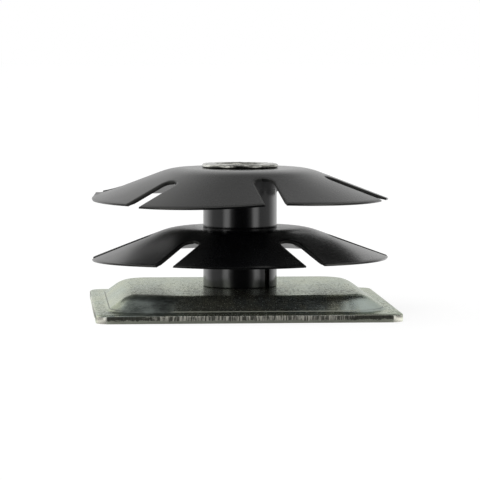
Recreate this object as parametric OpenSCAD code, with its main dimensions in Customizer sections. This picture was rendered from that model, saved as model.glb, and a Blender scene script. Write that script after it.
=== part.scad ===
// Threaded caster insert for square tube: a pressed plate that covers the tube's end, and two
// spring-steel stars held on a threaded barrel by rolled spacers. The barrel's top is swaged
// over the upper star. Millimetres, +Z up, standing on the plate's rim.

/* [Plate] */
// Side of the square plate, equal to the outside of the tube
plate_side = 50.8; // [40:0.1:64]
// Thickness of the pressed sheet
plate_t = 1.4; // [0.9:0.05:2]
// Plan radius of the plate's corners
plate_corner_r = 2.4; // [1:0.1:5]
// Width of the flat rim that the tube's end stands on
rim_w = 1.65; // [1.2:0.05:4]
// Height that the centre is pressed up above the rim
emboss_rise = 2.6; // [2:0.05:4]
// Steepest angle of the pressed slope
emboss_angle = 36; // [24:1:45]
// Outside radius of the bend at the top of the slope
crown_r = 5; // [3:0.1:6]
// Radius of the fillet at the foot of the slope
foot_r = 1.2; // [0.6:0.1:2]
// Plan radius of the corners of the raised flat
crown_corner_r = 3; // [0.8:0.1:4]

/* [Threaded barrel] */
// Outside diameter of the barrel
barrel_d = 11; // [10.2:0.1:12]
// Wall of the barrel over the crests of its 3/8-16 thread
barrel_wall = 1.53; // [1.3:0.01:2]
// Chamfer where the caster's stem enters
entry_chamfer = 0.9; // [0.3:0.1:1.2]
// How far the head reaches beyond the barrel
head_overhang = 4; // [2:0.1:7]
// How far the head's face lies above the plane of the plate's rim
head_recess = 0.3; // [0.1:0.05:0.8]
// Chamfer round the head's lower edge
head_chamfer = 0.4; // [0.2:0.05:0.6]
// How far the swaged lip reaches beyond the barrel
lip_overhang = 1.1; // [0.6:0.1:2]
// Thickness of the swaged lip
lip_t = 0.75; // [0.5:0.05:1.2]
// Rounding of the swaged lip's mouth
mouth_r = 1; // [0.5:0.1:1.2]

/* [Stars] */
// Diameter of a star over its petals
star_d = 51; // [44:0.1:60]
// Thickness of the spring steel
star_t = 0.4; // [0.25:0.05:0.8]
// Radius of the flat centre that is clamped
star_flat_r = 9.6; // [8.5:0.1:11]
// Outside radius of the bend from the flat into the petals
star_bend_r = 11.5; // [5:0.5:13]
// Downward slope of the petals
petal_angle = 20.3; // [10:0.1:30]
// Number of slots, one between each two petals
slot_count = 6; // [4:2:8]
// Width of a slot
slot_w = 3.5; // [2:0.1:5]
// Distance from the axis to the round inner end of a slot
slot_inner_r = 15.2; // [14:0.1:17]
// Turn of the lower star's slots from the front, towards the right
lower_star_turn = 26; // [0:0.5:60]
// Turn of the upper star's slots from the front, towards the right
upper_star_turn = 10.5; // [0:0.5:60]

/* [Spacers] */
// Height of a rolled spacer
spacer_h = 9.8; // [6:0.1:16]
// Wall of a rolled spacer
spacer_wall = 0.8; // [0.5:0.05:1.2]
// Gap left at the seam of a rolled spacer
seam_gap = 1.15; // [0.4:0.05:1.6]
// Turn of the lower spacer's seam from the front, towards the right
lower_seam_turn = 43; // [0:1:359]
// Turn of the upper spacer's seam from the front, towards the right
upper_seam_turn = 160; // [0:1:359]

/* [Fit] */
// Radial clearance of the plate, spacers and stars on the barrel
slip = 0.05; // [0.02:0.01:0.2]

/* [Hidden] */
$fn = 96;
// Overlap of a cutting shape past the face that it cuts
cut = 1;
// Straight steps in each bend of a sheet
bend_steps = 8;

// Heights of the stack, from the plate's raised flat to the top of the lip
plate_top = plate_t + emboss_rise;
star_pitch = spacer_h + star_t;
lower_flat_z = plate_top + star_pitch;
upper_flat_z = lower_flat_z + star_pitch;
lip_z = upper_flat_z + lip_t;

// Hole that the plate, spacers and stars share round the barrel
barrel_hole_d = barrel_d + 2 * slip;
bore_r = barrel_d / 2 - barrel_wall;

// Pressed slope in section: bend, straight web and fillet, which together give the rise
bends_drop = (crown_r + foot_r) * (1 - cos(emboss_angle));
slope_web = (emboss_rise - bends_drop) / sin(emboss_angle);
slope_run = (crown_r + foot_r) * sin(emboss_angle) + slope_web * cos(emboss_angle);
foot_half = plate_side / 2 - rim_w;
foot_corner_r = crown_corner_r + slope_run;
corner_centre = foot_half - foot_corner_r;

// Straight run of a petal, from its bend to the rim
petal_web = (star_d / 2 - star_flat_r - star_bend_r * sin(petal_angle)) / cos(petal_angle);

// Square with round corners, centred on the axis
module rounded_square(side, r) {
    square([side - 2 * r, side], center = true);
    square([side, side - 2 * r], center = true);
    for (x = [-1, 1], y = [-1, 1])
        translate([x * (side / 2 - r), y * (side / 2 - r)]) circle(r);
}

// Points along an arc, with angles measured from straight up towards the right
function arc(centre, r, from, to) = [
    for (i = [0 : bend_steps])
        let (a = from + (to - from) * i / bend_steps)
        centre + r * [sin(a), cos(a)]
];

// Section of the plate from its raised flat to past its edge, starting over a corner's centre
module slope_section() {
    crown = [crown_corner_r, plate_top - crown_r];
    foot = [foot_corner_r, plate_t + foot_r];
    polygon(concat(
        [[0, plate_top]],
        arc(crown, crown_r, 0, emboss_angle),
        arc(foot, foot_r, 180 + emboss_angle, 180),
        [[plate_side, plate_t], [plate_side, 0]],
        arc(foot, foot_r + plate_t, 180, 180 + emboss_angle),
        arc(crown, crown_r - plate_t, emboss_angle, 0),
        [[0, emboss_rise]]
    ));
}

// Section of a star from its hole to its rim, with the top of its flat at zero
module star_section() {
    bend = [star_flat_r, -star_bend_r];
    along_petal = [cos(petal_angle), -sin(petal_angle)];
    through_petal = [sin(petal_angle), cos(petal_angle)];
    rim = bend + star_bend_r * through_petal + petal_web * along_petal;
    polygon(concat(
        [[barrel_hole_d / 2, 0]],
        arc(bend, star_bend_r, 0, petal_angle),
        [rim, rim - star_t * through_petal],
        arc(bend, star_bend_r - star_t, petal_angle, 0),
        [[barrel_hole_d / 2, -star_t]]
    ));
}

// One straight side of the plate and the corner that follows it
module plate_quarter() translate([corner_centre, corner_centre, 0]) {
    rotate([90, 0, 0]) linear_extrude(2 * corner_centre) slope_section();
    rotate_extrude(angle = 90) slope_section();
}

// Pressed plate: flat rim, sloped wall and raised flat, in one sheet
module base_plate() color("lightgray") difference() {
    intersection() {
        union() {
            for (turn = [0 : 90 : 270])
                rotate(turn) plate_quarter();
            translate([0, 0, emboss_rise])
                linear_extrude(plate_t) square(2 * corner_centre + crown_corner_r, center = true);
        }
        translate([0, 0, -cut]) linear_extrude(plate_top + 2 * cut)
            rounded_square(plate_side, plate_corner_r);
    }
    translate([0, 0, emboss_rise - cut]) cylinder(h = plate_t + 2 * cut, d = barrel_hole_d);
}

// Outline of the barrel and its head, before the hole, from the axis outwards
module barrel_outline() {
    head_r = barrel_d / 2 + head_overhang;
    lip_r = barrel_d / 2 + lip_overhang;
    polygon([
        [0, head_recess],
        [head_r - head_chamfer, head_recess],
        [head_r, head_recess + head_chamfer],
        [head_r, emboss_rise],
        [0, emboss_rise]
    ]);
    translate([0, emboss_rise]) square([barrel_d / 2, upper_flat_z - emboss_rise]);
    translate([0, upper_flat_z]) square([lip_r - lip_t / 2, lip_t]);
    translate([lip_r - lip_t / 2, lip_z - lip_t / 2]) circle(d = lip_t);
}

// Hole along the axis, with its entry chamfer and the rounded mouth that swaging leaves
module barrel_hole() {
    translate([0, head_recess - cut]) square([bore_r, lip_z - head_recess + 2 * cut]);
    polygon([
        [0, head_recess - cut],
        [bore_r + entry_chamfer + cut, head_recess - cut],
        [bore_r, head_recess + entry_chamfer],
        [0, head_recess + entry_chamfer]
    ]);
    difference() {
        translate([0, lip_z - mouth_r]) square([bore_r + mouth_r, mouth_r + cut]);
        translate([bore_r + mouth_r, lip_z - mouth_r]) circle(mouth_r);
    }
}

// Threaded barrel: head under the plate, shank through the stack, lip swaged over the upper star
module threaded_barrel() color("silver") rotate_extrude() difference() {
    barrel_outline();
    barrel_hole();
}

// Strip rolled into a tube, with its seam left open
module rolled_spacer(z, seam_turn) translate([0, 0, z]) linear_extrude(spacer_h) difference() {
    circle(d = barrel_hole_d + 2 * spacer_wall);
    circle(d = barrel_hole_d);
    rotate(seam_turn - 90) translate([0, -seam_gap / 2]) square([barrel_d, seam_gap]);
}

// Slot between two petals, open at the rim
module slot_plan() {
    translate([slot_inner_r + slot_w / 2, 0]) circle(d = slot_w);
    translate([slot_inner_r + slot_w / 2, -slot_w / 2]) square([star_d / 2, slot_w]);
}

// Domed spring star, its flat centre's top at height z
module star(z, turn) translate([0, 0, z]) difference() {
    rotate_extrude() star_section();
    for (slot = [0 : slot_count - 1])
        rotate(turn - 90 + slot * 360 / slot_count)
            translate([0, 0, -star_d / 2]) linear_extrude(star_d / 2 + cut) slot_plan();
}

module lower_spacer() color("dimgray") rolled_spacer(plate_top, lower_seam_turn);
module lower_star() color("black") star(lower_flat_z, lower_star_turn);
module upper_spacer() color("dimgray") rolled_spacer(lower_flat_z, upper_seam_turn);
module upper_star() color("black") star(upper_flat_z, upper_star_turn);

base_plate();
threaded_barrel();
lower_spacer();
lower_star();
upper_spacer();
upper_star();
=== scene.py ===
"""Threaded caster insert for square tube, dressed for rendering.

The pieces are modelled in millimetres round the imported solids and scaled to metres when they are
finished. Angles round the barrel are measured from the front of the plate towards its right.
"""

import math
from typing import NamedTuple

import bmesh
import bpy
from bpy.props import FloatProperty, FloatVectorProperty, IntProperty, PointerProperty
from mathutils import Matrix, Vector, noise


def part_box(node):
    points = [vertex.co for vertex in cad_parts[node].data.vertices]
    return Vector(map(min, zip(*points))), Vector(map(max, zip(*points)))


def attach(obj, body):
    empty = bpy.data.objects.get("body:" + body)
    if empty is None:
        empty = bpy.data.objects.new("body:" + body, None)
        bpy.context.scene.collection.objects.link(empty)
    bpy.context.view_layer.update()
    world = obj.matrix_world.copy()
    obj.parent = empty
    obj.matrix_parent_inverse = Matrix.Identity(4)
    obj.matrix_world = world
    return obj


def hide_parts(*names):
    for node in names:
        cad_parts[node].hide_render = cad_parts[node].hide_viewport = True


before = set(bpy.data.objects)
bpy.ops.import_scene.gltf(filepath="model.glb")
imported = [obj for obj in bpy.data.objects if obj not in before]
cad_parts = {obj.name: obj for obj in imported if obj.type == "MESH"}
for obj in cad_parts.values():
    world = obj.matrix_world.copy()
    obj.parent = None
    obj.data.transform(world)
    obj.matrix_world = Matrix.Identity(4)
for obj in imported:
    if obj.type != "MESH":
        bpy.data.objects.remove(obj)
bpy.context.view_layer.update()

bl_info = {
    "name": "Threaded caster insert",
    "version": (1, 0, 0),
    "blender": (4, 5, 0),
    "location": "View3D > Sidebar > Insert",
    "description": "Builds a double-star threaded insert for square tube",
    "category": "Object",
}

MM = 0.001
BODY = "root"

# Edges that turn by more than these angles are shaded sharp, or rounded
SMOOTH_ANGLE = math.radians(38.0)
SHARP_ANGLE = math.radians(60.0)

# Distances within which points count as level, and are welded, in millimetres
NEAR = 1e-3
WELD = 1e-4


def corners_mm(node):
    """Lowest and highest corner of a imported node, in millimetres."""
    low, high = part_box(node)
    return [c / MM for c in low], [c / MM for c in high]


PLATE_LOW, PLATE_HIGH = corners_mm("base_plate")
BARREL_LOW, BARREL_HIGH = corners_mm("threaded_barrel")
SPACER_LOW, SPACER_HIGH = corners_mm("lower_spacer")
UPPER_SPACER_LOW, UPPER_SPACER_HIGH = corners_mm("upper_spacer")
STAR_HIGH = corners_mm("lower_star")[1]
UPPER_STAR_HIGH = corners_mm("upper_star")[1]

PLATE_SIDE = PLATE_HIGH[0] - PLATE_LOW[0]
PLATE_TOP = PLATE_HIGH[2]
SPACER_R = SPACER_HIGH[0]
HEAD_R = BARREL_HIGH[0]
STAR_R = max(STAR_HIGH[0], STAR_HIGH[1])
STAR_T = UPPER_SPACER_LOW[2] - SPACER_HIGH[2]


# Properties

def length(name, description, default_mm):
    """A size that the panel shows as a length. The default is in millimetres."""
    return FloatProperty(name=name, description=description, default=default_mm * MM,
                         unit="LENGTH", precision=5)


def angle(name, description, default_deg):
    """An angle that the panel shows in degrees."""
    return FloatProperty(name=name, description=description, default=math.radians(default_deg),
                         subtype="ANGLE")


def tint(name, description, default):
    """A linear colour."""
    return FloatVectorProperty(name=name, description=description, default=default,
                               subtype="COLOR", size=3, min=0.0, max=1.0)


class PlateSettings(bpy.types.PropertyGroup):
    thickness: length("Thickness", "Thickness of the pressed sheet", 1.4)
    corner: length("Corner radius", "Plan radius of the plate's corners", 2.4)
    rim: length("Rim width", "Width of the flat rim under the tube's end", 1.65)
    slope: angle("Slope", "Steepest angle of the pressed slope", 36.0)
    crown: length("Crown radius", "Outside radius of the bend at the top of the slope", 5.0)
    foot: length("Foot radius", "Radius of the fillet at the foot of the slope", 1.2)
    raised_corner: length("Raised corner", "Plan radius of the raised flat's corners", 3.0)
    edge: length("Edge rounding", "Rounding of the sheared edges", 0.16)
    roll: length("Rolled edge", "Width of the edge that shearing drew down", 0.7)
    roll_drop: length("Roll drop", "How far shearing drew the edge down", 0.32)
    zinc: tint("Zinc", "Colour of the zinc plating", (0.345, 0.362, 0.300))
    zinc_cool: tint("Cool zinc", "Colour of the plating where it turns bluish", (0.315, 0.355, 0.335))
    stain: tint("Stain", "Colour of the yellowish stains on the plating", (0.43, 0.43, 0.32))
    shear: tint("Sheared steel", "Colour of the marks on the sheared edges", (0.62, 0.61, 0.54))


class BarrelSettings(bpy.types.PropertyGroup):
    outside: length("Outside diameter", "Diameter of the barrel inside the spacers", 11.0)
    bore: length("Bore", "Diameter over the crests of the thread", 7.94)
    major: length("Thread diameter", "Diameter over the roots of the thread", 9.525)
    pitch: length("Pitch", "Pitch of the thread", 1.5875)
    entry: length("Entry chamfer", "Chamfer where the stem enters", 0.9)
    head_chamfer: length("Head chamfer", "Chamfer round the head's lower edge", 0.4)
    lip_overhang: length("Lip overhang", "Reach of the swaged lip beyond the barrel", 1.1)
    mouth: length("Mouth rounding", "Rounding of the lip's mouth", 1.0)
    hammer: length("Hammering", "Depth of the marks that swaging left on the lip", 0.16)
    zinc: tint("Zinc", "Colour of the zinc plating", (0.55, 0.55, 0.50))


class SpacerSettings(bpy.types.PropertyGroup):
    wall: length("Wall", "Wall of the rolled strip", 0.8)
    seam: length("Seam", "Gap left at the seam", 1.15)
    edge: length("Edge rounding", "Rounding of the strip's edges", 0.1)
    lower_seam: angle("Lower seam", "Where the lower spacer's seam lies", 43.0)
    upper_seam: angle("Upper seam", "Where the upper spacer's seam lies", 160.0)
    black: tint("Black", "Colour of the spacers' finish", (0.0035, 0.0038, 0.0050))


class StarSettings(bpy.types.PropertyGroup):
    hole: length("Hole", "Diameter of the hole round the barrel", 11.1)
    flat: length("Flat radius", "Radius of the flat centre", 9.6)
    bend: length("Bend radius", "Outside radius of the bend into the petals", 11.5)
    slope: angle("Petal slope", "Downward slope of the petals", 20.3)
    slots: IntProperty(name="Slots", description="Number of slots", default=6, min=3)
    slot_width: length("Slot width", "Width of a slot", 3.5)
    slot_inner: length("Slot depth", "Distance from the axis to a slot's inner end", 15.2)
    edge: length("Edge rounding", "Rounding of the blanked edges", 0.07)
    roll: length("Rolled edge", "Width of the edge that punching drew down along the slots", 0.42)
    roll_drop: length("Roll drop", "How far punching drew the slots' edges down", 0.27)
    burr: length("Burr", "How far the burr under the slots' edges hangs down", 0.2)
    lower_turn: angle("Lower turn", "Turn of the lower star's slots", 26.0)
    upper_turn: angle("Upper turn", "Turn of the upper star's slots", 10.5)
    black: tint("Black", "Colour of the stars' finish", (0.0040, 0.0042, 0.0050))


class StageSettings(bpy.types.PropertyGroup):
    distance: length("Camera distance", "Distance from the camera to the middle of the part", 519.6)
    azimuth: angle("Camera azimuth", "Direction of the camera, from the front", -4.01)
    elevation: angle("Camera elevation", "Height of the camera", 4.058)
    middle: length("Middle", "Height that the distance is measured to", 12.5)
    aim: length("Aim", "Height that the camera looks at", 11.9)
    lens: length("Lens", "Focal length", 226.3)
    floor: length("Floor", "Side of the floor", 6000.0)


# Modelling helpers

def mm(metres):
    """A property's length in millimetres."""
    return metres / MM


def deselect():
    """Leaves edit mode and clears the selection."""
    if bpy.context.mode != "OBJECT":
        bpy.ops.object.mode_set(mode="OBJECT")
    bpy.ops.object.select_all(action="DESELECT")


def activate(piece):
    """Makes one object the only selected and active one."""
    deselect()
    piece.select_set(True)
    bpy.context.view_layer.objects.active = piece


def edit(piece):
    """Enters edit mode on one object with all of it selected."""
    activate(piece)
    bpy.ops.object.mode_set(mode="EDIT")
    bpy.ops.mesh.select_all(action="SELECT")


def closed_loop(name, points):
    """Adds a loop of edges with one vertex at each point."""
    deselect()
    bpy.ops.mesh.primitive_circle_add(vertices=len(points), radius=1.0)
    piece = bpy.context.active_object
    piece.name = name
    piece.data.name = name
    for vertex, point in zip(piece.data.vertices, points):
        vertex.co = point
    return piece


def select_edges(test):
    """In edit mode, selects only the edges that the test accepts."""
    bpy.ops.mesh.select_all(action="DESELECT")
    mesh = bmesh.from_edit_mesh(bpy.context.active_object.data)
    for edge in mesh.edges:
        if test(edge):
            edge.select_set(True)
    bmesh.update_edit_mesh(bpy.context.active_object.data)


def open_edge_at(height):
    """A test for the open edges of a sheet at one height."""
    return lambda e: e.is_boundary and all(abs(v.co.z - height) < NEAR for v in e.verts)


def weld():
    """In edit mode, merges doubles and turns the faces outwards."""
    bpy.ops.mesh.select_all(action="SELECT")
    bpy.ops.mesh.remove_doubles(threshold=WELD)
    bpy.ops.mesh.normals_make_consistent(inside=False)


def spin(steps, turn, pivot=(0.0, 0.0, 0.0)):
    """In edit mode, spins the selection to the left round an upright axis. The tool turns right."""
    bpy.ops.mesh.spin(steps=steps, angle=-turn, center=pivot, axis=(0.0, 0.0, 1.0))


def apply_modifier(piece, kind, **settings):
    """Adds one modifier with its settings and applies it."""
    activate(piece)
    modifier = piece.modifiers.new(kind.title(), kind)
    for key, value in settings.items():
        setattr(modifier, key, value)
    bpy.ops.object.modifier_apply(modifier=modifier.name)


def round_edges(piece, width, segments):
    """Rounds the sharp edges."""
    apply_modifier(piece, "BEVEL", width=width, segments=segments, limit_method="ANGLE",
                   angle_limit=SHARP_ANGLE)


def face_up(piece):
    """Turns an open sheet over if its faces look down."""
    if sum(p.normal.z for p in piece.data.polygons) < 0.0:
        piece.data.flip_normals()


def finish_piece(piece, node, material):
    """Scales a piece to metres, shades it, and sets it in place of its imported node."""
    activate(piece)
    piece.data.transform(Matrix.Scale(MM, 4))
    bpy.ops.object.shade_smooth_by_angle(angle=SMOOTH_ANGLE)
    piece.data.materials.clear()
    piece.data.materials.append(material)
    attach(piece, BODY)
    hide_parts(node)


def arc(centre, radius, start, end, steps):
    """Points along an arc, with angles in radians from straight up towards the right."""
    points = []
    for i in range(steps + 1):
        a = start + (end - start) * i / steps
        points.append((centre[0] + radius * math.sin(a), centre[1] + radius * math.cos(a)))
    return points


def round_angle(x, y):
    """Angle round the barrel, from the front of the plate towards its right."""
    return math.atan2(x, -y)


def smooth_step(low, high, value):
    """Rises smoothly from 0 at low to 1 at high."""
    t = min(max((value - low) / (high - low), 0.0), 1.0)
    return t * t * (3.0 - 2.0 * t)


# Shader helpers

class Value:
    """A shader socket that Python's operators combine through Math nodes."""

    def __init__(self, finish, socket):
        self.finish = finish
        self.socket = socket

    def math(self, operation, a, b=0.0):
        return self.finish.node("ShaderNodeMath", {"operation": operation}, {0: a, 1: b})

    def __add__(self, other):
        return self.math("ADD", self, other)

    def __sub__(self, other):
        return self.math("SUBTRACT", self, other)

    def __rsub__(self, other):
        return self.math("SUBTRACT", other, self)

    def __mul__(self, other):
        return self.math("MULTIPLY", self, other)

    # Sums and products are the same either way round
    __radd__ = __add__
    __rmul__ = __mul__

    def __truediv__(self, other):
        return self.math("DIVIDE", self, other)

    def __gt__(self, other):
        return self.math("GREATER_THAN", self, other)

    def __lt__(self, other):
        return self.math("LESS_THAN", self, other)

    def most(self, other):
        return self.math("MAXIMUM", self, other)

    def least(self, other):
        return self.math("MINIMUM", self, other)

    def size(self):
        return self.math("ABSOLUTE", self)


class Finish:
    """A node tree of a material or the world, with one method that adds any node."""

    def __init__(self, owner):
        owner.use_nodes = True
        self.owner = owner
        self.tree = owner.node_tree
        self.tree.nodes.clear()

    def node(self, kind, settings=None, inputs=None, output=0):
        """Adds a node, sets it up, feeds its sockets and returns one of its outputs."""
        made = self.tree.nodes.new(kind)
        for key, value in (settings or {}).items():
            if key == "stops":
                self.set_stops(made.color_ramp, value)
            else:
                setattr(made, key, value)
        for key, value in (inputs or {}).items():
            if isinstance(value, Value):
                self.tree.links.new(value.socket, made.inputs[key])
            else:
                made.inputs[key].default_value = value
        return Value(self, made.outputs[output]) if made.outputs else None

    def set_stops(self, ramp, stops):
        """Gives a colour ramp its positions and grey levels."""
        while len(ramp.elements) < len(stops):
            ramp.elements.new(1.0)
        for element, (position, level) in zip(ramp.elements, stops):
            element.position = position
            element.color = (level, level, level, 1.0)

    def place(self):
        """Position on the piece, in millimetres, as a vector."""
        at = self.node("ShaderNodeTexCoord", output="Object")
        return self.node("ShaderNodeVectorMath", {"operation": "SCALE"}, {0: at, "Scale": 1.0 / MM})

    def stretched(self, vector, scale):
        """A vector multiplied by one factor for each axis."""
        return self.node("ShaderNodeVectorMath", {"operation": "MULTIPLY"}, {0: vector, 1: scale})

    def axes(self, vector):
        """The three parts of a vector."""
        made = self.node("ShaderNodeSeparateXYZ", inputs={0: vector})
        return [Value(self, output) for output in made.socket.node.outputs]

    def root(self, value):
        """Square root of a value."""
        return self.node("ShaderNodeMath", {"operation": "SQRT"}, {0: value})

    def apart(self, x, y, at_x, at_y):
        """Distance in plan from one place."""
        aside, along = x - at_x, y - at_y
        return self.root(aside * aside + along * along)

    def noise(self, vector, scale, detail=3.0, roughness=0.55, distortion=0.0):
        """Smooth noise from 0 to 1."""
        return self.node("ShaderNodeTexNoise", inputs={
            "Vector": vector, "Scale": scale, "Detail": detail, "Roughness": roughness,
            "Distortion": distortion})

    def ramp(self, value, *stops):
        """A value passed through a colour ramp."""
        return self.node("ShaderNodeValToRGB", {"stops": stops}, {0: value})

    def blend(self, factor, a, b):
        """A mix of two colours."""
        return self.node("ShaderNodeMix", {"data_type": "RGBA"}, {0: factor, 6: a, 7: b}, output=2)

    def bump(self, height, strength, distance_mm):
        """A normal from a height."""
        return self.node("ShaderNodeBump", inputs={
            "Height": height, "Strength": strength, "Distance": distance_mm * MM})

    def surface(self, shader):
        """Sends a shader to the output."""
        is_world = isinstance(self.owner, bpy.types.World)
        kind = "ShaderNodeOutputWorld" if is_world else "ShaderNodeOutputMaterial"
        self.node(kind, inputs={"Surface": shader})
        return self.owner


def colour(rgb, factor=1.0):
    """A colour with alpha, made lighter or darker by a factor."""
    return tuple(min(c * factor, 1.0) for c in rgb) + (1.0,)


# Materials

# Ramps over distances run from 0 to this many millimetres
RAMP_MM = 10.0

# From the middle of the part to its sides, for looks that change on the way
HALF_MM = 25.0

# Places on the front of the slope, in plan
DARK_PLACE = (-17.0, -21.0)
PAINTED_REFLECTION_PLACE = (22.6, -21.0)

# How far the die's mark lies inside the fillet, how much of a corner is burnished and painted as a
# highlight, measured along both sides together and down from the rim, and how deep the sheared edge's look
# goes
CREASE_INSET = 0.12
BURNISH_AND_HIGHLIGHT, BURNISH_AND_HIGHLIGHT_DROP = 2.6, 0.3
EDGE_SKIN = 0.08

# How far below and above its face the rim's look reaches, above it the slope's begins, and below the raised
# flat and below the lip their looks reach
RIM_BELOW, RIM_ABOVE = 0.1, 0.05
SLOPE_ABOVE = 0.02
FLAT_BELOW = 0.12
LIP_BELOW = 0.1


def sheared_edge(f, place, zinc, steel):
    """Colour and relief of the edge: drag marks in the middle, dark ends, a torn pale band below."""
    x, y, z = f.axes(place)
    marks = f.noise(f.stretched(place, (5.5, 5.5, 0.4)), 1.0, 1.0, 0.5)
    torn = f.noise(f.stretched(place, (1.6, 1.6, 3.0)), 1.0, 3.0, 0.7)
    middle = f.ramp(x.size().least(y.size()) / HALF_MM + (torn - 0.5) * 0.3, (0.55, 1.0), (0.70, 0.04))
    drag = f.ramp(marks, (0.46, 0.1), (0.58, 1.0)) * middle
    band = f.ramp(z + (torn - 0.5) * 1.1, (0.44, 1.0), (0.56, 0.0))
    shear = f.blend(drag, colour(zinc, 0.17), colour(steel, 1.15))
    return f.blend(band, shear, colour(zinc, 1.1)), marks * 2.0 + torn * band


def zinc_plate_finish(settings):
    """Bright zinc on pressed steel: cloudy and speckled, with a dull crease and a sheared edge."""
    f = Finish(bpy.data.materials.new("zinc_plate"))
    zinc, cool, steel = settings.zinc, settings.zinc_cool, settings.shear
    top = mm(settings.thickness)
    place = f.place()
    x, y, z = f.axes(place)
    section, centre = plate_section(settings)
    # Distance from the corners' axes, the same all the way round as in the section
    out_x = (x.size() - centre).most(0.0)
    out_y = (y.size() - centre).most(0.0)
    out = f.root(out_x * out_x + out_y * out_y)
    along_side = x.size() > y.size()
    cloud = f.noise(place, 0.28, 4.0, 0.62)
    grain = f.noise(f.stretched(place, (0.8, 3.2, 3.2)), 1.5, 4.0, 0.68)
    pits = f.noise(place, 4.0, 2.0, 0.5)
    hue = f.noise(place, 0.12, 3.0, 0.5)
    fine = grain * 0.6 + pits * 0.4
    # Plating: yellowish to bluish green, with darker clouds and pits
    plating = f.blend(f.ramp(hue, (0.40, 0.0), (0.60, 1.0)), colour(zinc), colour(cool))
    mottle = f.ramp(cloud * 0.5 + grain * 0.35 + pits * 0.15, (0.36, 0.55), (0.62, 1.25))
    sheet = f.node("ShaderNodeMix", {"data_type": "RGBA", "blend_type": "MULTIPLY"},
                   {0: 1.0, 6: plating, 7: mottle}, output=2)
    # Yellowish stains and dark specks, drawn out along the sheet
    stain = f.noise(f.stretched(place, (0.45, 0.10, 0.45)), 1.0, 4.0, 0.65)
    sheet = f.blend(f.ramp(stain, (0.46, 0.0), (0.62, 0.6)), sheet, colour(settings.stain))
    speck = f.noise(f.stretched(place, (2.6, 0.5, 2.6)), 1.0, 3.0, 0.7)
    sheet = f.blend(f.ramp(speck, (0.52, 0.0), (0.66, 0.75)), sheet, colour(zinc, 0.5))
    # Dull mark that the die left where the slope begins, with painted light: lighter along the front, darker
    # along the sides
    begin = section[-2][0] - mm(settings.foot) * math.sin(settings.slope) - CREASE_INSET
    crease = f.ramp((out - begin + (pits - 0.5) * 0.06).size(), (0.05, 1.0), (0.12, 0.0))
    crease_with_painted_light = f.blend(along_side, colour(zinc, 1.25), colour(zinc, 0.6))
    sheet = f.blend(crease, sheet, crease_with_painted_light)
    # Two places on the front of the slope: dark and blotched on the left, a painted reflection on the right
    ragged = (cloud - 0.5) * 6.0
    dark = f.ramp((f.apart(x, y, *DARK_PLACE) + ragged) / RAMP_MM, (0.34, 1.0), (0.66, 0.0))
    blotch = f.ramp(cloud * 0.6 + grain * 0.4, (0.42, 0.0), (0.58, 1.0))
    sheet = f.blend(dark, sheet, f.blend(blotch, colour(cool, 0.2), colour(cool, 0.55)))
    # Painted reflection of the bright right side: paler and less metallic low on the slope
    low = f.ramp((out + (grain - 0.5) * 3.0) / RAMP_MM, (0.44, 0.0), (0.62, 1.0)) * (z > top + SLOPE_ABOVE)
    painted_reflection = f.apart(x, y, *PAINTED_REFLECTION_PLACE) / RAMP_MM + ragged / 14.0
    painted_reflection = f.ramp(painted_reflection, (0.38, 1.0), (0.60, 0.0)) * low * f.ramp(fine, (0.40, 0.7), (0.58, 1.0))
    sheet = f.blend(painted_reflection * 0.9, sheet, colour(cool, 1.7))
    # Burnished corners with a painted highlight of the side lights, brighter on the right
    corner = ((x.size() + y.size()) > PLATE_SIDE - BURNISH_AND_HIGHLIGHT) * (z < top - BURNISH_AND_HIGHLIGHT_DROP)
    burnish_and_highlight = f.ramp(pits * 0.6 + cloud * 0.4, (0.40, 0.7), (0.56, 1.0))
    sheet = f.blend(corner * burnish_and_highlight, sheet, f.blend(x > 0.0, colour(steel, 0.6), colour(steel, 0.9)))
    edge = x.size().most(y.size()) > PLATE_SIDE / 2.0 - EDGE_SKIN
    shear, relief = sheared_edge(f, place, zinc, steel)
    # A fine grain, stronger on the side rims
    rim = (z > top - RIM_BELOW) * (z < top + RIM_ABOVE) * along_side
    height = (grain * (rim * 0.25 + 0.2) + pits * 0.04 + cloud * 0.8) * (1.0 - edge) + relief * edge
    rough = 0.15 + f.ramp(fine, (0.35, 0.0), (0.7, 1.0)) * 0.18
    shader = f.node("ShaderNodeBsdfPrincipled", inputs={
        "Base Color": f.blend(edge, sheet, shear),
        "Metallic": 0.86 - edge * 0.45 - crease * 0.7 - painted_reflection * 0.3,
        "Roughness": rough + edge * 0.15 + crease * 0.3 + dark * 0.18 + painted_reflection * 0.22,
        "Specular Tint": (0.72, 0.77, 0.66, 1.0),
        "Normal": f.bump(height, 0.22, 0.05)})
    # Dull specks in patches on the flats, most of them towards the front
    level = (z > PLATE_TOP - FLAT_BELOW).most(rim)
    worn = f.ramp(cloud * 0.6 - y / HALF_MM * 0.2 + 0.1, (0.30, 0.2), (0.50, 1.0))
    grime = f.ramp(speck, (0.47, 0.0), (0.65, 0.40)) * level * worn
    dirt = f.node("ShaderNodeBsdfDiffuse", inputs={"Color": colour(settings.stain, 0.4)})
    return f.surface(f.node("ShaderNodeMixShader", inputs={0: grime, 1: shader, 2: dirt}))


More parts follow.
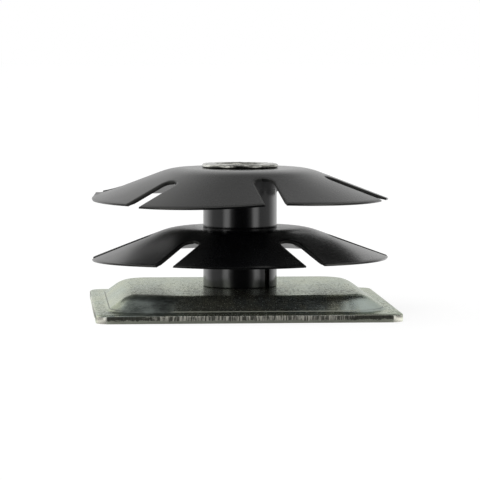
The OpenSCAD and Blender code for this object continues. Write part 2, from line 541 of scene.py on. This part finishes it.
def zinc_barrel_finish(settings):
    """Zinc on the barrel: bright, with dull and dark patches where swaging hammered the lip."""
    f = Finish(bpy.data.materials.new("zinc_barrel"))
    place = f.place()
    _, _, z = f.axes(place)
    lip = z > UPPER_STAR_HIGH[2] - LIP_BELOW
    patch = f.noise(f.stretched(place, (0.6, 0.6, 2.0)), 0.8, 3.0, 0.6, 0.6)
    grain = f.noise(place, 2.2, 3.0, 0.6)
    worn = f.ramp(patch, (0.38, 0.0), (0.56, 1.0))
    bright = f.blend(lip, colour(settings.zinc), colour(settings.zinc, 0.76))
    dull = f.blend(lip, colour(settings.zinc, 0.8), colour(settings.zinc, 0.22))
    shader = f.node("ShaderNodeBsdfPrincipled", inputs={
        "Base Color": f.blend(worn, dull, bright), "Metallic": 1.0,
        "Roughness": 0.14 + grain * 0.2, "Normal": f.bump(patch + grain * 0.3, 0.4, 0.12)})
    return f.surface(shader)


def black_tube_finish(settings):
    """Glossy black on rolled strip, with faint upright drawing marks."""
    f = Finish(bpy.data.materials.new("black_tube"))
    place = f.place()
    _, _, z = f.axes(place)
    streak = f.noise(f.stretched(place, (3.0, 3.0, 0.15)), 1.0, 3.0, 0.6)
    speck = f.noise(place, 6.0, 2.0, 0.5)
    # Duller close under the upper star
    dull = f.ramp((UPPER_SPACER_HIGH[2] - z) / RAMP_MM, (0.24, 0.28), (0.40, 0.0))
    spots = f.ramp(speck, (0.5, 0.0), (0.75, 1.0))
    black = f.blend(spots, colour(settings.black), colour(settings.black, 2.4))
    shader = f.node("ShaderNodeBsdfPrincipled", inputs={
        "Base Color": black, "Roughness": 0.08 + streak * 0.08 + dull, "IOR": 1.6,
        "Normal": f.bump(streak * 0.7 + speck * 0.3, 0.18, 0.02)})
    return f.surface(shader)


def black_spring_finish(settings):
    """Satin black on spring steel, with paler rubbed spots and duller cut edges."""
    f = Finish(bpy.data.materials.new("black_spring"))
    place = f.place()
    x, _, _ = f.axes(place)
    fine = f.noise(place, 7.0, 3.0, 0.6)
    broad = f.noise(place, 0.25, 3.0, 0.5)
    rub = f.noise(place, 1.4, 4.0, 0.7)
    shade = f.ramp(broad * 0.6 + fine * 0.4, (0.3, 0.0), (0.7, 1.0))
    black = f.blend(shade, colour(settings.black, 0.8), colour(settings.black, 1.3))
    black = f.blend(f.ramp(rub, (0.68, 0.0), (0.78, 1.0)), black, colour(settings.black, 2.2))
    duller_left = f.ramp(0.5 - x / (2.0 * HALF_MM), (0.58, 0.0), (0.85, 0.07))
    cut = f.node("ShaderNodeAttribute", {"attribute_name": CUT}, output="Fac")
    shader = f.node("ShaderNodeBsdfPrincipled", inputs={
        "Base Color": black,
        "Roughness": 0.17 + fine * 0.12 + broad * 0.06 + duller_left + cut * 0.35,
        "IOR": 1.46, "Specular Tint": (1.0, 1.0, 0.92, 1.0),
        "Normal": f.bump(fine, 0.12, 0.03)})
    return f.surface(shader)


# Pieces

# Steps in curves and sweeps
CROWN_STEPS, FOOT_STEPS = 12, 8
CORNER_STEPS, SIDE_STEPS = 20, 16
ROLL_STEPS = 6
FACE_STEPS, SHANK_STEPS, LIP_STEPS, MOUTH_STEPS = 4, 6, 8, 6
BARREL_STEPS, SPACER_STEPS = 144, 120
ROWS_PER_PITCH = 12

# Rings round the barrel's hole. The narrow one keeps its rounding out of the raised flat's shading.
HOLE_RINGS = (6.0, 0.5, 0.0)


def slide_to_rim(from_centre, half, radius):
    """In edit mode, moves the selected loop out to a square with round corners."""
    mesh = bmesh.from_edit_mesh(bpy.context.active_object.data)
    centre = half - radius
    for vertex in mesh.verts:
        if vertex.select:
            x, y, z = vertex.co
            out_x, out_y = max(abs(x) - from_centre, 0.0), max(abs(y) - from_centre, 0.0)
            a = math.atan2(out_y, out_x)
            along = [min(abs(c) / from_centre, 1.0) * centre for c in (x, y)]
            vertex.co = (math.copysign(along[0] + radius * math.cos(a), x),
                         math.copysign(along[1] + radius * math.sin(a), y), z)
    bmesh.update_edit_mesh(bpy.context.active_object.data)


def slide_to_circle(radius):
    """In edit mode, moves the selected loop in to a circle round the axis."""
    mesh = bmesh.from_edit_mesh(bpy.context.active_object.data)
    for vertex in mesh.verts:
        if vertex.select:
            vertex.co.xy *= radius / vertex.co.xy.length
    bmesh.update_edit_mesh(bpy.context.active_object.data)


def roll_edge(piece, s):
    """Draws the rim's upper edge down, as shearing does."""
    top, roll, radius = mm(s.thickness), mm(s.roll), mm(s.corner)
    centre = PLATE_SIDE / 2.0 - radius
    for vertex in piece.data.vertices:
        x, y, z = vertex.co
        out = math.hypot(max(abs(x) - centre, 0.0), max(abs(y) - centre, 0.0))
        u = 1.0 - (radius - out) / roll
        if u > 0.0 and z > top / 2.0:
            vertex.co.z = top - mm(s.roll_drop) * (1.0 - math.sqrt(max(1.0 - u * u, 0.0)))


def plate_section(s):
    """Upper face of the plate in section, from the raised flat to the rim, beside a corner's axis."""
    t, rise = mm(s.thickness), PLATE_TOP - mm(s.thickness)
    crown, foot = mm(s.crown), mm(s.foot)
    drop = (crown + foot) * (1.0 - math.cos(s.slope))
    web = (rise - drop) / math.sin(s.slope)
    run = (crown + foot) * math.sin(s.slope) + web * math.cos(s.slope)
    flat_r = mm(s.raised_corner)
    foot_r = flat_r + run
    # Short flats beside the bends keep the shading of the wide flats even
    lead = 0.3
    points = [(flat_r - lead, PLATE_TOP)]
    points += arc((flat_r, PLATE_TOP - crown), crown, 0.0, s.slope, CROWN_STEPS)
    points += arc((foot_r, t + foot), foot, math.pi + s.slope, math.pi, FOOT_STEPS)
    points.append((foot_r + lead, t))
    return points, PLATE_SIDE / 2.0 - mm(s.rim) - foot_r


def build_base_plate(s, barrel_hole):
    """Draws the slope's section, sweeps it round the plate, and closes the rim and the raised flat."""
    section, centre = plate_section(s)
    start = [(centre + r, centre, z) for r, z in section]
    piece = closed_loop("base_plate_skin", start)
    edit(piece)
    mesh = bmesh.from_edit_mesh(piece.data)
    mesh.verts.ensure_lookup_table()
    mesh.edges.remove(mesh.edges.get((mesh.verts[0], mesh.verts[len(start) - 1])))
    bmesh.update_edit_mesh(piece.data)
    bpy.ops.mesh.select_all(action="SELECT")
    for corner in range(4):
        turn = Matrix.Rotation(corner * math.pi / 2.0, 4, "Z")
        pivot = turn @ Vector((centre, centre, 0.0))
        along = turn @ Vector((-2.0 * centre / SIDE_STEPS, 0.0, 0.0))
        spin(CORNER_STEPS, math.pi / 2.0, pivot)
        for _ in range(SIDE_STEPS):
            bpy.ops.mesh.extrude_edges_move(TRANSFORM_OT_translate={"value": along})
    weld()
    thickness = mm(s.thickness)
    select_edges(open_edge_at(thickness))
    from_centre = centre
    for k in range(ROLL_STEPS + 1):
        inset = mm(s.roll) * (1.0 - math.sin(math.pi / 2.0 * k / ROLL_STEPS))
        bpy.ops.mesh.extrude_edges_move()
        slide_to_rim(from_centre, PLATE_SIDE / 2.0 - inset, mm(s.corner) - inset)
        from_centre = PLATE_SIDE / 2.0 - mm(s.corner)
    select_edges(open_edge_at(PLATE_TOP))
    for ring in HOLE_RINGS:
        bpy.ops.mesh.extrude_edges_move()
        slide_to_circle(barrel_hole + ring)
    weld()
    deselect()
    face_up(piece)
    apply_modifier(piece, "SOLIDIFY", thickness=thickness, offset=-1.0, use_even_offset=True)
    roll_edge(piece, s)
    round_edges(piece, mm(s.edge), segments=3)
    return piece


def barrel_section(s):
    """Closed section of the barrel, with a row of points for each step of the thread."""
    bore, outside = mm(s.bore) / 2.0, mm(s.outside) / 2.0
    low, high = BARREL_LOW[2], BARREL_HIGH[2]
    under = PLATE_TOP - mm(bpy.context.scene.insert_plate.thickness)
    lip_z = UPPER_STAR_HIGH[2]
    lip_t = high - lip_z
    lip_r = outside + mm(s.lip_overhang)
    chamfer, entry, mouth = mm(s.head_chamfer), mm(s.entry), mm(s.mouth)
    # The head's broken upper edge, and a short flat under the lip that keeps its shading even
    broken, lead = 0.15, 0.35
    face_in, face_out = bore + entry, HEAD_R - chamfer
    lip_in, lip_out = bore + mouth, lip_r - lip_t / 2.0
    points = [(face_in + (face_out - face_in) * k / FACE_STEPS, low) for k in range(FACE_STEPS + 1)]
    points += [(HEAD_R, low + chamfer), (HEAD_R, under - broken), (HEAD_R - broken, under), (outside, under)]
    points += [(outside, under + (lip_z - under) * k / SHANK_STEPS) for k in range(1, SHANK_STEPS + 1)]
    points += [(lip_out - lead, lip_z)]
    points += arc((lip_out, lip_z + lip_t / 2.0), lip_t / 2.0, math.pi, 0.0, LIP_STEPS)
    points += [(lip_in + (lip_out - lip_in) * k / FACE_STEPS, high) for k in range(FACE_STEPS - 1, 0, -1)]
    points += arc((lip_in, high - mouth), mouth, 0.0, -math.pi / 2.0, MOUTH_STEPS)
    top, bottom = high - mouth, low + entry
    rows = round((top - bottom) / (mm(s.pitch) / ROWS_PER_PITCH))
    points += [(bore, top + (bottom - top) * k / rows) for k in range(1, rows + 1)]
    return points, (bottom, top)


# Thread: angle of a flank, share of the pitch that the groove takes at the crests, and the lengths over
# which the groove fades at the entry and at the mouth
FLANK_ANGLE = math.radians(30.0)
GROOVE_SHARE = 0.75
FADE_IN, FADE_OUT = 0.5, 0.8


def cut_thread(piece, s, span):
    """Presses the thread's groove into the wall of the bore, fading out at both ends."""
    bore, pitch = mm(s.bore) / 2.0, mm(s.pitch)
    depth = (mm(s.major) - mm(s.bore)) / 2.0
    flank = depth * math.tan(FLANK_ANGLE)
    root = (pitch * GROOVE_SHARE - 2.0 * flank) / 2.0
    bottom, top = span
    for vertex in piece.data.vertices:
        x, y, z = vertex.co
        r = math.hypot(x, y)
        if abs(r - bore) > NEAR or not bottom - NEAR <= z <= top + NEAR:
            continue
        turns = (z - bottom) / pitch - math.atan2(y, x) / (2.0 * math.pi)
        off = abs(turns - math.floor(turns) - 0.5) * pitch
        groove = min(max((root + flank - off) / flank, 0.0), 1.0)
        fade = smooth_step(bottom, bottom + FADE_IN, z) * (1.0 - smooth_step(top - FADE_OUT, top, z))
        k = (bore + depth * groove * fade) / r
        vertex.co = (x * k, y * k, z)


def hammer_lip(piece, s):
    """Dents the swaged lip where the punch struck it, always inwards and downwards."""
    lip_z = UPPER_STAR_HIGH[2]
    # How far from the bore and over what height the dents begin, and how deep they are
    inner, begin = mm(s.bore) / 2.0 + 0.3, 0.3
    inwards, downwards = mm(s.hammer) * 0.4, mm(s.hammer) * 0.8
    # How close together they lie, and the small dents among them
    across, upwards = 0.55, 0.9
    small_share, small_scale = 0.35, 2.7
    for vertex in piece.data.vertices:
        x, y, z = vertex.co
        r = math.hypot(x, y)
        if z < lip_z - NEAR or r < inner:
            continue
        spot = Vector((x * across, y * across, z * upwards))
        dent = 0.5 + 0.5 * noise.noise(spot) + small_share * noise.noise(spot * small_scale)
        dent = min(max(dent, 0.0), 1.0)
        k = (r - inwards * dent) / r
        vertex.co = (x * k, y * k, z - downwards * dent * smooth_step(lip_z, lip_z + begin, z))


def build_threaded_barrel(s):
    """Spins the barrel's section round the axis, then threads the bore and hammers the lip."""
    section, span = barrel_section(s)
    piece = closed_loop("threaded_barrel_skin", [(r, 0.0, z) for r, z in section])
    edit(piece)
    spin(BARREL_STEPS, 2.0 * math.pi)
    weld()
    deselect()
    cut_thread(piece, s, span)
    hammer_lip(piece, s)
    return piece


def build_spacer(name, s, low, high, seam):
    """Spins the strip's section most of the way round and closes its two ends."""
    inner, edge = SPACER_R - mm(s.wall), mm(s.edge)
    # Short steps beside the rounded edges keep the shading of the walls even
    lead = 2.0 * edge
    section = []
    for r, z, start, wall, step in ((SPACER_R - edge, high - edge, 0.0, SPACER_R, -lead),
                                    (SPACER_R - edge, low + edge, 0.5, SPACER_R, lead),
                                    (inner + edge, low + edge, 1.0, inner, lead),
                                    (inner + edge, high - edge, 1.5, inner, -lead)):
        corner = arc((r, z), edge, start * math.pi, (start + 0.5) * math.pi, 3)
        beside = [(wall, z + step)]
        section += corner + beside if start in (0.0, 1.0) else beside + corner
    piece = closed_loop(name, [(r, 0.0, z) for r, z in section])
    gap = mm(s.seam) / SPACER_R
    edit(piece)
    spin(SPACER_STEPS, 2.0 * math.pi - gap)
    bpy.ops.mesh.select_all(action="SELECT")
    bpy.ops.mesh.fill_holes(sides=0)
    weld()
    deselect()
    piece.data.transform(Matrix.Rotation(seam - math.pi / 2.0 + gap / 2.0, 4, "Z"))
    round_edges(piece, edge * 0.6, segments=2)
    return piece


class StarMaking(NamedTuple):
    """How one star came out of the press, in millimetres.

    Petals and slots are counted from the first slot towards the right, and sides are seen from outside.
    bends: how far each petal's left corner, middle and right corner are bent up at the rim.
    slots: for slots that aren't true, the shift to the right at the inner end and at the rim, what is
    added to the width and taken from the depth, and what each side moves in by the rim.
    curls: what is added close to the left and right corners of a petal.
    side_lift: how far the star's left side stands up.
    """
    bends: tuple
    slots: dict
    curls: dict = {}
    side_lift: float = 0.0


LOWER_STAR = StarMaking(
    bends=((0.36, 0.20, 0.15), (0.10, 0.0, 0.0), (-0.10, 0.0, -0.05),
           (-0.20, -0.15, -0.30), (-0.35, -0.10, 0.17), (0.26, 0.13, 0.28)),
    slots={0: (0.0, -0.23, 0.1, 0.2, 0.0), 5: (0.1, 0.25, -0.35, 0.4, 0.0)})
UPPER_STAR = StarMaking(
    bends=((0.41, 0.05, 0.10), (0.28, -0.35, -0.30), (-0.05, 0.0, -0.05),
           (-0.05, -0.10, 0.55), (-0.05, -0.20, -0.22), (-0.44, -0.36, 0.42)),
    slots={0: (0.0, -0.43, 0.2, -0.4, 0.0), 5: (0.65, 0.5, -0.6, 1.1, 0.17)},
    curls={3: (0.0, 0.29), 4: (0.75, 0.0)},
    side_lift=0.06)
TRUE_SLOT = (0.0, 0.0, 0.0, 0.0, 0.0)
FLAT_PETAL = (0.0, 0.0)

# Where a corner lies on the way from a petal's middle to the slot's middle
CORNER = 0.87

# Attribute that marks the cut edges of the slots, and where across a rolled edge it begins and is full
CUT = "cut"
CUT_BEGIN, CUT_FULL = 0.4, 0.9

# The slot that was punched cleanest, and its share of the drop that the others have
CLEAN_SLOT, CLEAN_SHARE = 0, 0.35

# Grid of a petal: how far before the slots its close rows begin, its columns beside a slot as shares of the
# rolled edge, and its steps between those
ROWS_BEFORE = 0.6
COLUMNS_BESIDE = (0.0, 0.25, 0.5, 0.75, 1.0, 1.6)
COLUMNS_INSIDE = 16

# How steeply bends and curls grow towards the rim, curls towards the corner, and the lift towards the left
BEND_POWER, CURL_POWER, CORNER_POWER, LIFT_POWER = 1.5, 8, 6, 3

# Where the left side begins to stand up and where it is up, from the edge of the flat
LIFT_BEGIN, LIFT_END = -3.0, 1.4

# How far from the rim the burr begins to fade and is gone
BURR_BEGIN, BURR_END = 1.6, 0.2


def star_radii(s):
    """Radii of the rows of a star, closer together in the bend and round the slots' inner ends."""
    hole, flat = mm(s.hole) / 2.0, mm(s.flat)
    bend_end = flat + mm(s.bend) * math.sin(s.slope)
    slot_start, slot_round = mm(s.slot_inner) - ROWS_BEFORE, mm(s.slot_inner) + mm(s.slot_width)
    radii = [hole, (hole + flat) / 2.0, flat]
    for low, high, steps in ((flat, bend_end, 8), (bend_end, slot_start, 2), (slot_start, slot_round, 36),
                             (slot_round, STAR_R, 10)):
        radii += [low + (high - low) * k / steps for k in range(1, steps + 1)]
    return radii


def slot_form(s, making, slot):
    """Inner end, half width, sideways shifts and taper of one slot."""
    inner_shift, rim_shift, wider, shorter, taper = making.slots.get(slot % s.slots, TRUE_SLOT)
    return mm(s.slot_inner) + shorter, (mm(s.slot_width) + wider) / 2.0, inner_shift, rim_shift, taper


def slot_at(form, r):
    """How far a slot's middle lies to the right at one radius, and how far its sides have moved in."""
    start, half, inner_shift, rim_shift, taper = form
    straight = start + half
    share = min(max((r - straight) / (STAR_R - straight), 0.0), 1.0)
    return inner_shift + (rim_shift - inner_shift) * share, taper * share


def slot_edge(form, r, side):
    """Angle from a slot's direction to its left edge (side -1) or right edge (side 1)."""
    start, half = form[:2]
    shift, moved_in = slot_at(form, r)
    into = min(max(r - start, 0.0), half)
    here = math.sqrt(half ** 2 - (half - into) ** 2) - moved_in
    return math.asin((shift + side * here) / r)


def from_slot(form, r, turned):
    """Distance from a slot's outline, for a point at one radius and angle from the slot's direction."""
    start, half = form[:2]
    shift, moved_in = slot_at(form, r)
    along = min(r * math.cos(turned) - start - half, 0.0)
    aside = r * math.sin(turned) - shift
    return math.hypot(along, aside) - half + moved_in


def petal_sheet(s, turn, making, petal):
    """A grid laid over one petal and its share of the centre, from slot to slot."""
    radii = star_radii(s)
    step = 2.0 * math.pi / s.slots
    left_form, right_form = slot_form(s, making, petal), slot_form(s, making, petal + 1)
    beside = [mm(s.roll) * k for k in COLUMNS_BESIDE]
    columns = 2 * len(beside) + COLUMNS_INSIDE - 1
    deselect()
    bpy.ops.mesh.primitive_grid_add(x_subdivisions=columns - 1, y_subdivisions=len(radii) - 1, size=2.0)
    sheet = bpy.context.active_object
    for vertex in sheet.data.vertices:
        column = round((vertex.co.x + 1.0) / 2.0 * (columns - 1))
        r = radii[round((vertex.co.y + 1.0) / 2.0 * (len(radii) - 1))]
        left = slot_edge(left_form, r, 1.0)
        right = step + slot_edge(right_form, r, -1.0)
        if column < len(beside):
            a = left + beside[column] / r
        elif column >= columns - len(beside):
            a = right - beside[columns - 1 - column] / r
        else:
            share = (column - len(beside) + 1) / COLUMNS_INSIDE
            a = left + beside[-1] / r + (right - left - 2.0 * beside[-1] / r) * share
        a += turn + petal * step
        vertex.co = (r * math.sin(a), -r * math.cos(a), 0.0)
    return sheet


def star_blank(name, s, turn, making):
    """The flat star: a sheet for each petal, welded together, thickened and rounded at the rim."""
    sheets = [petal_sheet(s, turn, making, petal) for petal in range(s.slots)]
    deselect()
    for sheet in sheets:
        sheet.select_set(True)
    piece = sheets[0]
    bpy.context.view_layer.objects.active = piece
    bpy.ops.object.join()
    piece.name = name
    piece.data.name = name
    edit(piece)
    weld()
    deselect()
    face_up(piece)
    apply_modifier(piece, "SOLIDIFY", thickness=STAR_T, offset=-1.0)
    edit(piece)
    select_edges(lambda e: all(v.co.xy.length > STAR_R - NEAR for v in e.verts)
                 and abs(e.verts[0].co.z - e.verts[1].co.z) < NEAR)
    bpy.ops.mesh.bevel(offset=mm(s.edge), segments=2, affect="EDGES")
    deselect()
    return piece


def roll_slots(piece, s, turn, making):
    """Draws the upper edges of the slots down and leaves a burr under them, as punching does."""
    step = 2.0 * math.pi / s.slots
    roll = mm(s.roll)
    cut = piece.data.attributes.new(CUT, "FLOAT", "POINT")
    for vertex in piece.data.vertices:
        x, y, z = vertex.co
        r = math.hypot(x, y)
        turned = round_angle(x, y) - turn
        slot = round(turned / step)
        share = CLEAN_SHARE if slot % s.slots == CLEAN_SLOT else 1.0
        u = 1.0 - from_slot(slot_form(s, making, slot), r, turned - slot * step) / roll
        if u > 0.0 and z > -STAR_T / 2.0:
            vertex.co.z = z - mm(s.roll_drop) * share * (1.0 - math.sqrt(max(1.0 - u * u, 0.0)))
        elif u > 0.5:
            # The burr begins halfway across the rolled edge
            fade = 1.0 - smooth_step(STAR_R - BURR_BEGIN, STAR_R - BURR_END, r)
            vertex.co.z = z - mm(s.burr) * (2.0 * u - 1.0) * fade
        cut.data[vertex.index].value = smooth_step(CUT_BEGIN, CUT_FULL, u)


def press_star(piece, s, turn, flat_z, making):
    """Presses the blank into its dome and bends each petal by its own amount."""
    flat, bend, slope = mm(s.flat), mm(s.bend), s.slope
    bend_end = flat + bend * math.sin(slope)
    step = 2.0 * math.pi / s.slots
    for vertex in piece.data.vertices:
        x, y, z = vertex.co
        r = math.hypot(x, y)
        tilt = math.asin(min(max((r - flat) / bend, 0.0), math.sin(slope)))
        fall = bend * (1.0 - math.cos(tilt)) + max(r - bend_end, 0.0) * math.tan(slope)
        along = (round_angle(x, y) - turn) % (2.0 * math.pi)
        petal = int(along / step) % s.slots
        across = 2.0 * (along / step - petal) - 1.0
        left, middle, right = making.bends[petal]
        lift = middle + (right - left) / 2.0 * across + ((right + left) / 2.0 - middle) * across ** 2
        reach = max(r - bend_end, 0.0) / (STAR_R - bend_end)
        curl_left, curl_right = making.curls.get(petal, FLAT_PETAL)
        corner = abs(across / CORNER) ** CORNER_POWER
        curl = (curl_left if across < 0.0 else curl_right) * corner
        fall -= lift * reach ** BEND_POWER + curl * reach ** CURL_POWER
        to_left = max(-x / r, 0.0) ** LIFT_POWER
        fall -= making.side_lift * to_left * smooth_step(flat + LIFT_BEGIN, flat + LIFT_END, r)
        k = (r + z * math.sin(tilt)) / r
        vertex.co = (x * k, y * k, flat_z - fall + z * math.cos(tilt))


def build_star(name, s, turn, flat_z, making):
    """Blanks one star, draws its slots' edges down and presses it."""
    piece = star_blank(name, s, turn, making)
    roll_slots(piece, s, turn, making)
    press_star(piece, s, turn, flat_z, making)
    return piece


# Stage

def aimed(place, target):
    """Rotation that points a camera or lamp from one place at another."""
    return (Vector(target) - Vector(place)).to_track_quat("-Z", "Y").to_euler()


def add_camera(s):
    """The camera at the photograph's place."""
    middle = Vector((0.0, 0.0, s.middle))
    flat = s.distance * math.cos(s.elevation)
    place = middle + Vector((flat * math.sin(s.azimuth), -flat * math.cos(s.azimuth),
                             s.distance * math.sin(s.elevation)))
    data = bpy.data.cameras.new("camera")
    data.sensor_width = 36.0
    data.lens = mm(s.lens)
    data.clip_start = 0.01
    data.clip_end = 100.0
    camera = bpy.data.objects.new("camera", data)
    camera.location = place
    camera.rotation_euler = aimed(place, (0.0, 0.0, s.aim))
    bpy.context.collection.objects.link(camera)
    bpy.context.scene.camera = camera


def add_softbox(name, place, target, wide, tall, level):
    """A rectangular lamp whose face has one brightness, where 1 is white."""
    data = bpy.data.lights.new(name, "AREA")
    data.shape = "RECTANGLE"
    data.size = wide
    data.size_y = tall
    data.energy = level * math.pi * wide * tall
    lamp = bpy.data.objects.new(name, data)
    lamp.location = place
    lamp.rotation_euler = aimed(place, target)
    bpy.context.collection.objects.link(lamp)


def tent_ring(f, x, y):
    """Brightness of the tent near the horizon: dark ahead, a strip each side, dim sides, white behind."""
    level = f.root(x * x + y * y + 1e-6)
    turned = 0.5 + y / level * 0.5
    return f.ramp(turned, (0.0, 0.01), (0.025, 0.02), (0.075, 0.16), (0.125, 1.0), (0.19, 0.95),
                  (0.26, 0.26), (0.55, 0.27), (0.80, 0.78), (1.0, 0.5)) * 2.0


def floor_finish():
    """White floor that the camera sees as white, a little darker in the part's shadow."""
    f = Finish(bpy.data.materials.new("floor"))
    path = f.node("ShaderNodeLightPath").socket.node.outputs
    x, y, _ = f.axes(f.place())
    glossy = Value(f, path["Is Glossy Ray"])
    # In reflections the floor repeats the tent, with the dark front about as wide as the plate
    darkest, spread = PLATE_SIDE * 0.16, 1.1
    beside = (x.size() - darkest).most(0.0) * spread
    # The camera also sees the lit floor, which holds the shadow
    white, glow_share = 1.2, 0.72
    shown = white + (tent_ring(f, beside, y) - white) * glossy
    share = Value(f, path["Is Camera Ray"]) * glow_share + glossy
    diffuse = f.node("ShaderNodeBsdfDiffuse", inputs={"Color": (0.86, 0.86, 0.86, 1.0)})
    glow = f.node("ShaderNodeEmission", inputs={"Color": (1.0, 1.0, 1.0, 1.0), "Strength": shown})
    return f.surface(f.node("ShaderNodeMixShader", inputs={0: share, 1: diffuse, 2: glow}))


def tent_world():
    """A white tent that is dimmer overhead, more so on the right, with a panel high on the far right."""
    f = Finish(bpy.data.worlds.new("tent"))
    path = f.node("ShaderNodeLightPath").socket.node.outputs
    x, y, z = f.axes(f.node("ShaderNodeTexCoord", output="Generated"))
    overhead_level, panel_level = 0.28, 1.1
    low = tent_ring(f, x, y) * (1.05 - x * 0.4)
    high = f.ramp(z + x * 0.5, (0.48, 0.0), (0.72, 1.0))
    tent = low + (overhead_level - low) * high
    # Only reflections show the panel
    panel = f.ramp(x, (0.30, 0.0), (0.42, 1.0)) * f.ramp(z, (0.40, 0.0), (0.55, 1.0))
    tent = tent + (panel_level - tent) * panel * Value(f, path["Is Glossy Ray"])
    white = tent + (1.0 - tent) * Value(f, path["Is Camera Ray"])
    grey = f.node("ShaderNodeCombineColor", inputs={0: white, 1: white, 2: white})
    return f.surface(f.node("ShaderNodeBackground", inputs={"Color": grey, "Strength": 1.0}))


def build_stage(s):
    """Camera, floor, lamp and world."""
    scene = bpy.context.scene
    scene.view_settings.view_transform = "Standard"
    add_camera(s)
    deselect()
    bpy.ops.mesh.primitive_plane_add(size=s.floor)
    floor = bpy.context.active_object
    floor.name = "floor"
    floor.data.materials.append(floor_finish())
    add_softbox("top_box", place=(0.0, 0.05, 0.80), target=(0.0, 0.0, s.middle), wide=0.50, tall=0.50,
                level=1.0)
    scene.world = tent_world()


# Operators and panel

class INSERT_OT_base_plate(bpy.types.Operator):
    """Build the pressed plate that covers the tube's end"""
    bl_idname = "insert.base_plate"
    bl_label = "Base plate"

    def execute(self, context):
        scene = context.scene
        hole = mm(scene.insert_stars.hole) / 2.0
        piece = build_base_plate(scene.insert_plate, hole)
        finish_piece(piece, "base_plate", zinc_plate_finish(scene.insert_plate))
        return {"FINISHED"}


class INSERT_OT_threaded_barrel(bpy.types.Operator):
    """Build the threaded barrel with its head and swaged lip"""
    bl_idname = "insert.threaded_barrel"
    bl_label = "Threaded barrel"

    def execute(self, context):
        settings = context.scene.insert_barrel
        piece = build_threaded_barrel(settings)
        finish_piece(piece, "threaded_barrel", zinc_barrel_finish(settings))
        return {"FINISHED"}


class INSERT_OT_spacers(bpy.types.Operator):
    """Build the two rolled spacers"""
    bl_idname = "insert.spacers"
    bl_label = "Spacers"

    def execute(self, context):
        s = context.scene.insert_spacers
        material = black_tube_finish(s)
        for node, low, high, seam in (("lower_spacer", SPACER_LOW, SPACER_HIGH, s.lower_seam),
                                      ("upper_spacer", UPPER_SPACER_LOW, UPPER_SPACER_HIGH, s.upper_seam)):
            piece = build_spacer(node + "_skin", s, low[2], high[2], seam)
            finish_piece(piece, node, material)
        return {"FINISHED"}


class INSERT_OT_stars(bpy.types.Operator):
    """Build the two spring stars"""
    bl_idname = "insert.stars"
    bl_label = "Stars"

    def execute(self, context):
        s = context.scene.insert_stars
        material = black_spring_finish(s)
        for node, turn, high, making in (("lower_star", s.lower_turn, STAR_HIGH, LOWER_STAR),
                                         ("upper_star", s.upper_turn, UPPER_STAR_HIGH, UPPER_STAR)):
            piece = build_star(node + "_skin", s, turn, high[2], making)
            finish_piece(piece, node, material)
        return {"FINISHED"}


class INSERT_OT_stage(bpy.types.Operator):
    """Set up the camera, floor, lamp and world"""
    bl_idname = "insert.stage"
    bl_label = "Stage"

    def execute(self, context):
        build_stage(context.scene.insert_stage)
        return {"FINISHED"}


OPERATORS = (INSERT_OT_base_plate, INSERT_OT_threaded_barrel, INSERT_OT_spacers, INSERT_OT_stars,
             INSERT_OT_stage)


class INSERT_PT_panel(bpy.types.Panel):
    """Lists the steps that build the insert"""
    bl_label = "Caster insert"
    bl_idname = "INSERT_PT_panel"
    bl_space_type = "VIEW_3D"
    bl_region_type = "UI"
    bl_category = "Insert"

    def draw(self, context):
        for operator in OPERATORS:
            self.layout.operator(operator.bl_idname)


SETTINGS = {
    "insert_plate": PlateSettings,
    "insert_barrel": BarrelSettings,
    "insert_spacers": SpacerSettings,
    "insert_stars": StarSettings,
    "insert_stage": StageSettings,
}


def register():
    for group in SETTINGS.values():
        bpy.utils.register_class(group)
    for kind in OPERATORS + (INSERT_PT_panel,):
        bpy.utils.register_class(kind)
    for name, group in SETTINGS.items():
        setattr(bpy.types.Scene, name, PointerProperty(type=group))


def unregister():
    for name in SETTINGS:
        delattr(bpy.types.Scene, name)
    for kind in (INSERT_PT_panel,) + OPERATORS:
        bpy.utils.unregister_class(kind)
    for group in SETTINGS.values():
        bpy.utils.unregister_class(group)


def main():
    """Builds every piece in order."""
    register()
    bpy.ops.insert.stage()
    bpy.ops.insert.base_plate()
    bpy.ops.insert.threaded_barrel()
    bpy.ops.insert.spacers()
    bpy.ops.insert.stars()


if __name__ == "__main__":
    main()
